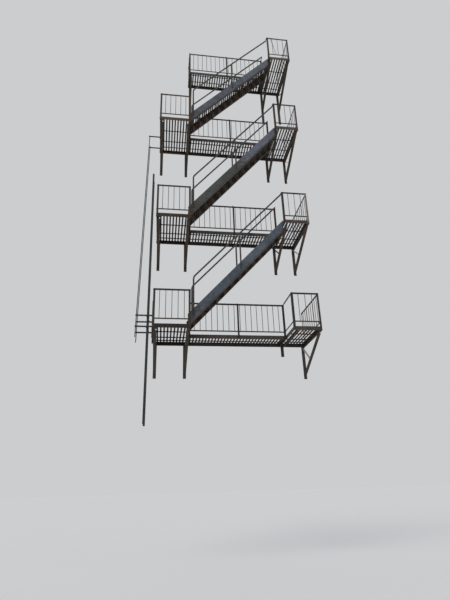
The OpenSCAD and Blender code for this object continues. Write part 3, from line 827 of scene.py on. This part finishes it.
# %% Bolts at the feet of the posts
FOOT_BOLTS = (-0.030, -0.075)
spots = []
for x, way, z in corners:
    for h in FOOT_BOLTS:
        spots.append(((x - way * POST_MID, -LANDING_D - POST_T, z + h), (0, -1, 0)))
        spots.append(on_end_post(x, way, -LANDING_D + POST_MID, z + h))
for depth, z in zip(WALKWAY_D, LEVELS):
    spots += [((x, -depth - POST_T, z + h), (0, -1, 0)) for x in POSTS_X for h in FOOT_BOLTS]
for x, way, y, z in end_posts + [(WALKWAY_X, -1, WALL_POST_Y, LEVELS[3])]:
    spots += [on_end_post(x, way, y, z + h) for h in FOOT_BOLTS]
set_out(bolt_head(0.010, 0.014), "post_bolts", spots, black_brown)

# %% [markdown]
# ## Wall bolts
#
# The whole stair hangs on long bolts that go right through the wall. Outside, each ends in
# a square plate washer, a nut and a bit of thread. The washer is a plate with bevelled
# edges, the nut a six-sided disc, and the thread end a pin with a chamfer. An inset that
# also rises makes such an edge in one move, where a bevel all round would spend faces on the
# edges that lie hidden against the iron.
# The inner bracket of the lowest right landing has broken off below its upper bolt.


# %% One wall bolt
def wall_bolt():
    """Plate washer, nut and the end of the thread."""
    set_down()
    bpy.ops.mesh.primitive_cube_add(size=1, location=(0, 0, 0.0027))
    plate = bpy.context.active_object
    plate.dimensions = (0.056, 0.056, 0.006)
    bpy.ops.object.transform_apply(location=True, rotation=True, scale=True)
    bpy.ops.object.mode_set(mode="EDIT")
    pick_faces(looks_up)
    bpy.ops.mesh.inset(thickness=0.003, depth=0.0012)
    nut = start_round(6, 0.0150, 0.013, bottom=0.006)
    pick_faces(looks_up)
    bpy.ops.mesh.inset(thickness=0.002, depth=0.0012)
    stud = start_round(12, 0.0080, 0.038, bottom=-0.0105)
    pick_faces(looks_up)
    bpy.ops.mesh.inset(thickness=0.0018, depth=0.0020)
    return weld_to(plate, nut, stud)


measure(wall_bolt(), "wall bolt")

# %% Bolts of the brackets
LEG_T = 0.012
UPPER_HOLE = 0.160
LOWER_HOLE = 0.060
LEG_H, TOP_LEG_H = 0.860, 1.300
TOP_LEFT_X = 0.870
brackets = [(x, z, LANDING_D, LEG_H) for z in LEVELS[:3] for x in BRACKET_X]
brackets.append((TOP_LEFT_X, LEVELS[3], WALKWAY_D[3], TOP_LEG_H))
brackets += [(x, LEVELS[3], LANDING_D, TOP_LEG_H) for x in BRACKET_X[2:]]
broken = brackets.pop(2)
spots = [((broken[0], -LEG_T, broken[1] - FRAME_H - UPPER_HOLE), (0, -1, 0))]
for x, z, _, leg in brackets:
    for h in (-FRAME_H - UPPER_HOLE, -FRAME_H - leg + LOWER_HOLE):
        spots.append(((x, -LEG_T, z + h), (0, -1, 0)))
set_out(wall_bolt(), "wall_bolts", spots, bracket_dark)

# %% [markdown]
# ## Rivets of the brackets
#
# The strut is riveted to the end of the arm and to the leg on the wall, and both sides of
# its thin web show a head. The places are found along the strut's own line, so that the
# heads stay in the middle of the bar at any slope.

# %% Rivets of arms and struts
WEB_HALF = 0.006
STRUT_W = 0.045
STRUT_DROP = 0.730
BRACE_SHARE = 0.38
SECOND_RIVET = 0.055
FOOT_RIVET = 0.045


def bracket_lines(z, depth):
    """End and foot of a strut, and head and foot of its brace, as (y, z)."""
    top = z - FRAME_H
    arm_mid = top - ARM_H / 2
    end = Vector((-depth + ARM_H / 2 + STRUT_W / 2, arm_mid))
    foot = Vector((-LEG_T, top - STRUT_DROP))
    return end, foot, Vector((-LEG_T, arm_mid)), foot + (end - foot) * BRACE_SHARE


def side_spots(spots, x, at, *more):
    """Adds a place on both sides of a bracket's thin web."""
    for way in (-1, 1):
        spots.append(((x + way * WEB_HALF, at.x, at.y), (way, 0, 0), *more))


spots = []
for x, z, depth, _ in brackets:
    end, foot = bracket_lines(z, depth)[:2]
    along = (foot - end).normalized()
    for at in (end, end + along * SECOND_RIVET, foot - along * FOOT_RIVET):
        side_spots(spots, x, at)
set_out(rivet_head(0.011, 0.008), "bracket_rivets", spots, bracket_dark)

# %% [markdown]
# ## Cleats of the braces
#
# The braces are flat bars that lie across the webs they stiffen, so they can't be riveted
# to them straight. A short piece of angle iron sits in each corner, one leg on the web and
# one on the flat bar, with a rivet in each.
# It is shaped as a smith would think of it: a flat plate is cut across, and the near strip
# is drawn up to make the second leg.


# %% One angle cleat
def angle_cleat(leg, rise, width, thick):
    """An angle iron: one leg flat on z = 0 along +X, the other up along +Z at x = 0."""
    set_down()
    bpy.ops.mesh.primitive_cube_add(size=1)
    cleat = bpy.context.active_object
    cleat.dimensions = (leg, width, thick)
    bpy.ops.object.transform_apply(location=True, rotation=True, scale=True)
    bpy.ops.object.mode_set(mode="EDIT")
    bpy.ops.mesh.select_all(action="SELECT")
    bpy.ops.transform.translate(value=(leg / 2, 0, thick / 2))
    bpy.ops.mesh.bisect(plane_co=(thick, 0, 0), plane_no=(1, 0, 0))
    pick_faces(lambda middle, normal: normal.z > 0.9 and middle.x < thick)
    bpy.ops.mesh.extrude_region_move(TRANSFORM_OT_translate={"value": (0, 0, rise - thick)})
    set_down()
    return cleat


measure(angle_cleat(0.028, 0.019, 0.026, 0.004), "angle cleat")

# %% Cleats of the braces, and the rivets through them
BRACE_T = 0.008
CLEAT_T = 0.004
RIVET_OUT = 0.0115
PAST_JOINT, PAST_HEAD = 0.002, 0.014
cleats, heads = [], []
for x, z, depth, _ in brackets:
    end, foot, head, joint = bracket_lines(z, depth)
    down = (joint - head).normalized()
    outward = Vector((down.y, -down.x))
    strut = (end - foot).normalized()
    above = Vector((0.0, 1.0))
    strut_up = above - strut * above.dot(strut)
    over_strut = outward if outward.dot(strut_up) > 0 else -outward
    ends = (joint + down * PAST_JOINT, over_strut), (head + down * PAST_HEAD, outward)
    for at, normal in ends:
        side_spots(cleats, x, at + normal * BRACE_T / 2, (0, normal.x, normal.y))
        far = at - normal * BRACE_T / 2
        for way in (-1, 1):
            heads.append(((x + way * (WEB_HALF + RIVET_OUT), far.x, far.y), (0, -normal.x, -normal.y)))
on_web = put_at(rivet_head(0.006, 0.005), (0.017, 0, CLEAT_T), (0, 0, 1))
on_brace = put_at(rivet_head(0.006, 0.005), (CLEAT_T, 0, RIVET_OUT), (1, 0, 0))
cleat = weld_to(angle_cleat(0.028, 0.019, 0.026, CLEAT_T), on_web, on_brace)
set_out(cleat, "brace_cleats", cleats, bracket_dark)
set_out(rivet_head(0.006, 0.005), "brace_rivets", heads, bracket_dark)

# %% [markdown]
# ## Seats of the floors
#
# The floors lie on the arms of the brackets. So that they can't creep off, an upright angle
# iron stands behind the front of each frame: one leg is bolted to the arm's side, the other
# to the frame. It is the cleat of the braces again, longer along its corner.
# Neighbouring floors are bolted to each other through the two frame bars that lie side by
# side, three bolts to a joint, and a bolt shows a head or a nut on both sides.

# %% Seat cleats under the front of the floors
SEAT_MID = 0.095
spots = []
for x, z, depth, _ in brackets + [broken]:
    spots.append(((x + WEB_HALF, -depth + FRAME_T, z - SEAT_MID), (1, 0, 0), (0, 1, 0)))
to_arm = put_at(bolt_head(0.008, 0.011), (0.018, -0.024, CLEAT_T), (0, 0, 1))
to_frame = put_at(bolt_head(0.008, 0.011), (CLEAT_T, 0.022, 0.018), (1, 0, 0))
cleat = weld_to(angle_cleat(0.030, 0.030, 0.090, CLEAT_T), to_arm, to_frame)
set_out(cleat, "seat_cleats", spots, bracket_dark)

# %% Bolts between neighbouring floors
JOINT_BOLTS_Y = (-0.120, -0.300, -0.480)
BELOW_LEDGE = 0.062
spots = []
for x, levels in ((WALKWAY_X, LEVELS[:3]), (RIGHT_X, LEVELS)):
    for z in levels:
        for y in JOINT_BOLTS_Y:
            spots += [((x + way * FRAME_T, y, z - BELOW_LEDGE), (way, 0, 0)) for way in (-1, 1)]
set_out(bolt_head(0.009, 0.014), "floor_bolts", spots, floor_grey)

# %% [markdown]
# ## Bolts of the handrails
#
# The outer handrail's uprights lap the stringer and are bolted to it, and at the top both
# rails turn onto a post and are bolted there. It is the bolt of the posts, a little larger,
# and its height is worked out from the slope of the flight, so that it follows the rail.

# %% Handrail bolts
HANDRAIL_H = 0.860
HANDRAIL_T = 0.012
HANDRAIL_MID = 0.020
LAP_BOLTS = (-0.115, -0.035)
OUTER_END, INNER_END = 0.022, -0.025
spots = []
for flight in range(3):
    for x in UPRIGHTS_X:
        line = LEVELS[flight] + (x - FOOT_X) * slope[flight]
        spots += [((x, OUTER_Y - HANDRAIL_T, line + h), (0, -1, 0)) for h in LAP_BOLTS]
    end_x = RIGHT_X - POST_T
    end_z = LEVELS[flight] + (end_x - FOOT_X) * slope[flight] + HANDRAIL_H
    for y in (-LANDING_D + OUTER_END, -WALKWAY_D[flight + 1] + INNER_END):
        spots.append(((end_x - HANDRAIL_T, y, end_z - HANDRAIL_MID), (-1, 0, 0)))
set_out(bolt_head(0.011, 0.016), "handrail_bolts", spots, hand_grey)

# %% [markdown]
# ## Collars of the rungs
#
# Each rung goes into the ladder's flat rails through a small round collar. The outer
# faces of the rails stay plain, because they run through the guide shoes.
# A collar could be spun from its outline. A disc with one inset that rises gives the same
# raised rim with fewer faces, and it is the move that the bolts already use.


# %% One collar, and the ladder's collars
def collar():
    """A round washer with a raised, smaller rim."""
    ring = start_round(16, 0.017, 0.004, bottom=-0.0005)
    pick_faces(looks_up)
    bpy.ops.mesh.inset(thickness=0.003, depth=0.0025)
    set_down()
    ring.select_set(True)
    bpy.ops.object.shade_smooth_by_angle(angle=math.radians(35))
    return ring


LADDER_X, LADDER_Y, LADDER_FOOT_Z = -0.200, -0.400, -1.600
RAIL_INSIDE = 0.170
RUNGS, FIRST_RUNG, RUNG_PITCH = 23, 0.200, 0.300
spots = []
for n in range(RUNGS):
    z = LADDER_FOOT_Z + FIRST_RUNG + n * RUNG_PITCH
    spots.append(((LADDER_X, LADDER_Y - RAIL_INSIDE, z), (0, 1, 0)))
    spots.append(((LADDER_X, LADDER_Y + RAIL_INSIDE, z), (0, -1, 0)))
set_out(collar(), "rung_collars", spots, ladder_grey, body="drop_ladder")

# %% [markdown]
# ## Clips of the guide rods
#
# Each arm holds its rod with a U-bolt: a round bar bent round the rod, whose two threaded
# ends go through the arm and take a nut. It is spun from a small ring, as a smith bends the
# bar round a former, and its two ends are then drawn straight.
# The lower arms are bolted to the posts beside the ladder, the upper ones end in an angle
# cleat on the floor frame of the third balcony.


# %% One U-bolt, and the clips
def u_bolt(reach, bar, lift, through):
    """A U that opens downwards: its legs stand at +-reach, its bend is round the height lift."""
    set_down()
    bpy.ops.mesh.primitive_circle_add(vertices=8, radius=bar, fill_type="NGON", location=(reach, 0, lift))
    clip = bpy.context.active_object
    bpy.ops.object.transform_apply(location=True, rotation=True, scale=True)
    bpy.ops.object.mode_set(mode="EDIT")
    bpy.ops.mesh.select_all(action="SELECT")
    bpy.ops.mesh.duplicate()
    bpy.ops.mesh.spin(steps=8, angle=math.pi, center=(0, 0, lift), axis=(0, -1, 0))
    bpy.ops.mesh.select_all(action="SELECT")
    bpy.ops.mesh.remove_doubles(threshold=0.0002)
    pick_faces(lambda middle, normal: abs(middle.z - lift) < 0.0005 and abs(normal.z) > 0.9)
    bpy.ops.mesh.extrude_region_move(TRANSFORM_OT_translate={"value": (0, 0, -lift - through)})
    bpy.ops.mesh.select_all(action="SELECT")
    bpy.ops.mesh.normals_make_consistent(inside=False)
    nuts = []
    for side in (-1, 1):
        nut = start_round(6, 0.0080, 0.007, bottom=-0.0152)
        pick_faces(lambda middle, normal: normal.z < -0.9)
        bpy.ops.mesh.inset(thickness=0.0012, depth=0.0008)
        bpy.ops.mesh.select_all(action="SELECT")
        bpy.ops.transform.translate(value=(side * reach, 0, 0))
        nuts.append(nut)
    return weld_to(clip, *nuts)


ROD_TOP, ROD_FOOT = Vector((-0.360, 6.760)), Vector((-0.490, 0.450))
ARM_HEIGHTS = (0.720, 1.010, 6.720)
spots = []
for z in ARM_HEIGHTS:
    x = ROD_TOP.x + (ROD_FOOT.x - ROD_TOP.x) * (ROD_TOP.y - z) / (ROD_TOP.y - ROD_FOOT.y)
    spots += [((x, GUIDE_Y[0], z), (0, 1, 0)), ((x, GUIDE_Y[1], z), (0, -1, 0))]
set_out(u_bolt(0.0155, 0.0038, 0.0113, 0.020), "rod_clips", spots, ladder_grey)

# %% Bolts and cleats of the guide arms
GUIDE_ARM_T = 0.008
POST_BOLT_IN = 0.018
outside = (GUIDE_Y[0] - GUIDE_ARM_T, GUIDE_Y[1] + GUIDE_ARM_T)
spots = []
for z in ARM_HEIGHTS[:2]:
    spots += [((LEFT_X - POST_BOLT_IN, y, z), (0, way, 0)) for y, way in zip(outside, (-1, 1))]
set_out(bolt_head(0.010, 0.014), "guide_arm_bolts", spots, ladder_grey)
spots = [((LEFT_X, y, ARM_HEIGHTS[2]), (0, 1, 0), (-1, 0, 0)) for y in (GUIDE_Y[0], outside[1])]
bolt = put_at(bolt_head(0.008, 0.011), (0.026, 0, 0.005), (0, 0, 1))
set_out(weld_to(angle_cleat(0.042, 0.042, 0.036, 0.005), bolt), "arm_cleats", spots, ladder_grey)
